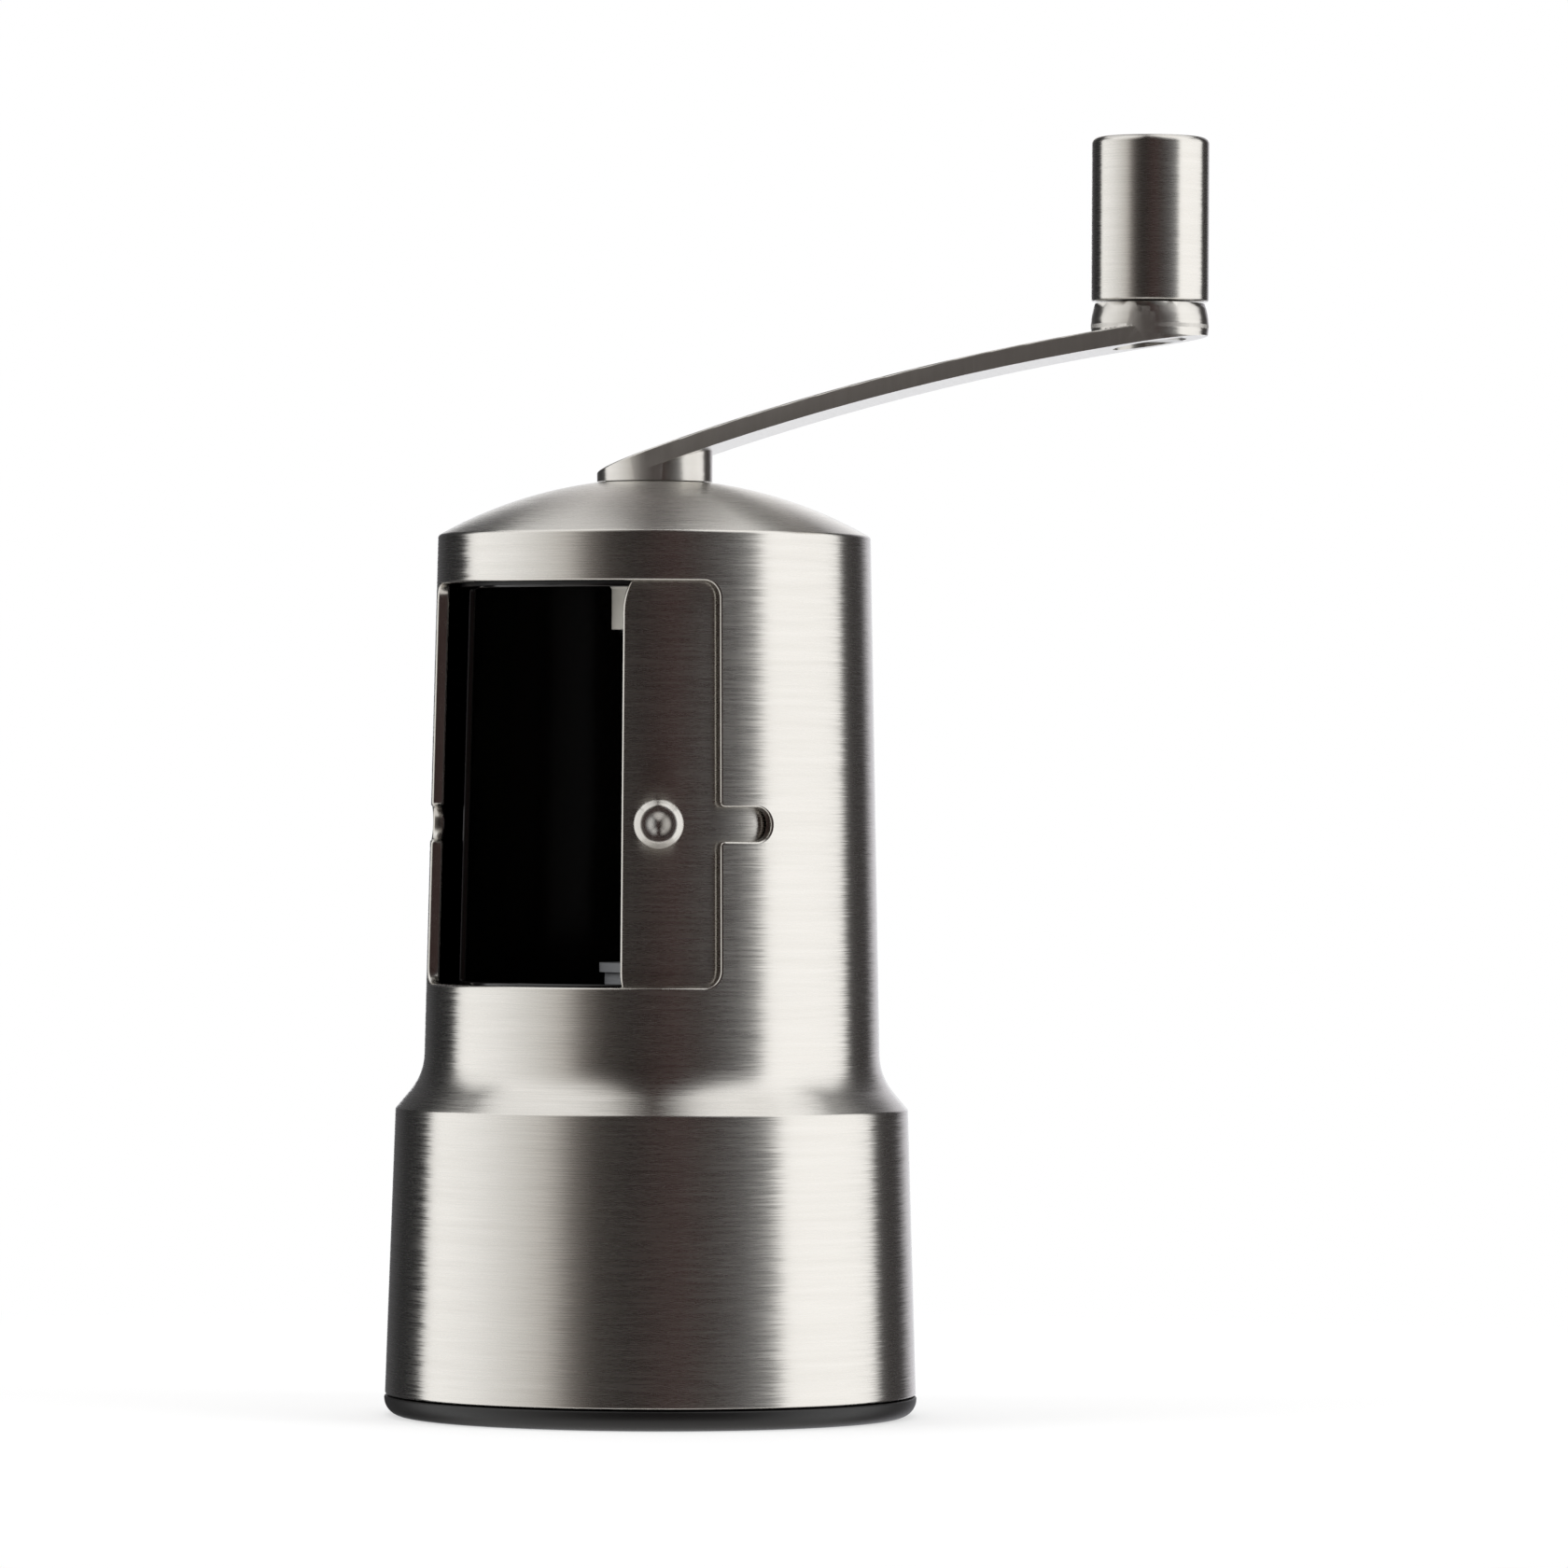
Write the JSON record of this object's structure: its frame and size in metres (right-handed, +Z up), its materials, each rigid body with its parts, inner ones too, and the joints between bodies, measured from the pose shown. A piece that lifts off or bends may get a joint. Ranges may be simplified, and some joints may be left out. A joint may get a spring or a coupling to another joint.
{
  "type": "hand crank coffee grinder",
  "caption": "Tapered brushed steel hand coffee mill with a domed top, a bowed crank and round knob, a curved sliding filling door with a finger button, and a black lid as its foot.",
  "frame": {"origin": "centre of the lid's underside, on the shaft axis", "axes": "+Z up along the shaft axis, -Y out through the middle of the filling window, +X to the right as the window is faced"},
  "size_m": [0.1171, 0.0802, 0.1922],
  "materials": {
    "brushed_steel": "brushed",
    "plain_steel": "turned",
    "spring_steel": "plain",
    "gloss_black": "gloss moulded",
    "black_plastic": "moulded",
    "pale_plastic": "moulded",
    "grey_plastic": "moulded",
    "ceramic": "fired",
    "black_rubber": "satin moulded"
  },
  "bodies": {
    "body": {"outer_shell": "brushed_steel", "top_bush": "pale_plastic", "upper_door_guide": "black_plastic", "hopper_liner": "gloss_black", "hopper": "black_plastic", "bearing_spider": "grey_plastic", "lower_bush": "pale_plastic", "burr_housing": "grey_plastic", "outer_burr": "ceramic", "housing_screw_1": "plain_steel", "housing_screw_2": "plain_steel", "housing_screw_3": "plain_steel"},
    "crank": {"crank_arm": "brushed_steel", "drive_shaft": "plain_steel", "shaft_clip": "spring_steel", "knob_axle": "plain_steel", "knob_clip": "spring_steel", "thrust_washer": "spring_steel", "burr_spring": "spring_steel"},
    "knob": {"crank_knob": "brushed_steel", "knob_bush": "pale_plastic"},
    "door": {"sliding_door": "brushed_steel", "door_button": "brushed_steel", "button_screw": "plain_steel"},
    "burr": {"inner_burr": "ceramic", "burr_core": "grey_plastic"},
    "adjuster": {"adjuster_nut": "grey_plastic"},
    "lid": {"base_lid": "black_rubber", "lid_seal": "black_rubber"}
  },
  "joints": [
    {"name": "crank_turn", "type": "hinge", "parent": "body", "child": "crank", "pos_m": [0, 0, 0.14], "axis": [0, 0, 1], "continuous": true},
    {"name": "knob_spin", "type": "hinge", "parent": "crank", "child": "knob", "pos_m": [0.06823, 0.03066, 0.168], "axis": [0, 0, 1], "continuous": true},
    {"name": "door_slide", "type": "hinge", "parent": "body", "child": "door", "pos_m": [0, 0, 0.095], "axis": [0, 0, 1], "range_deg": [-93.5, 25.5]},
    {"name": "burr_travel", "type": "slide", "parent": "crank", "child": "burr", "axis": [0, 0, 1], "range_m": [-0.0015, 0], "deforming": ["burr_spring"]},
    {"name": "adjuster_turn", "type": "hinge", "parent": "burr", "child": "adjuster", "pos_m": [0, 0, 0.02], "axis": [0, 0, 1], "range_deg": [-432.5, 0]},
    {"name": "lid_pull", "type": "slide", "parent": "body", "child": "lid", "axis": [0, 0, -1], "range_m": [0, 0.04]}
  ],
  "couplings": [
    {"joint": "adjuster_turn", "follows": "burr_travel", "rad_per_m": 5026.5}
  ]
}
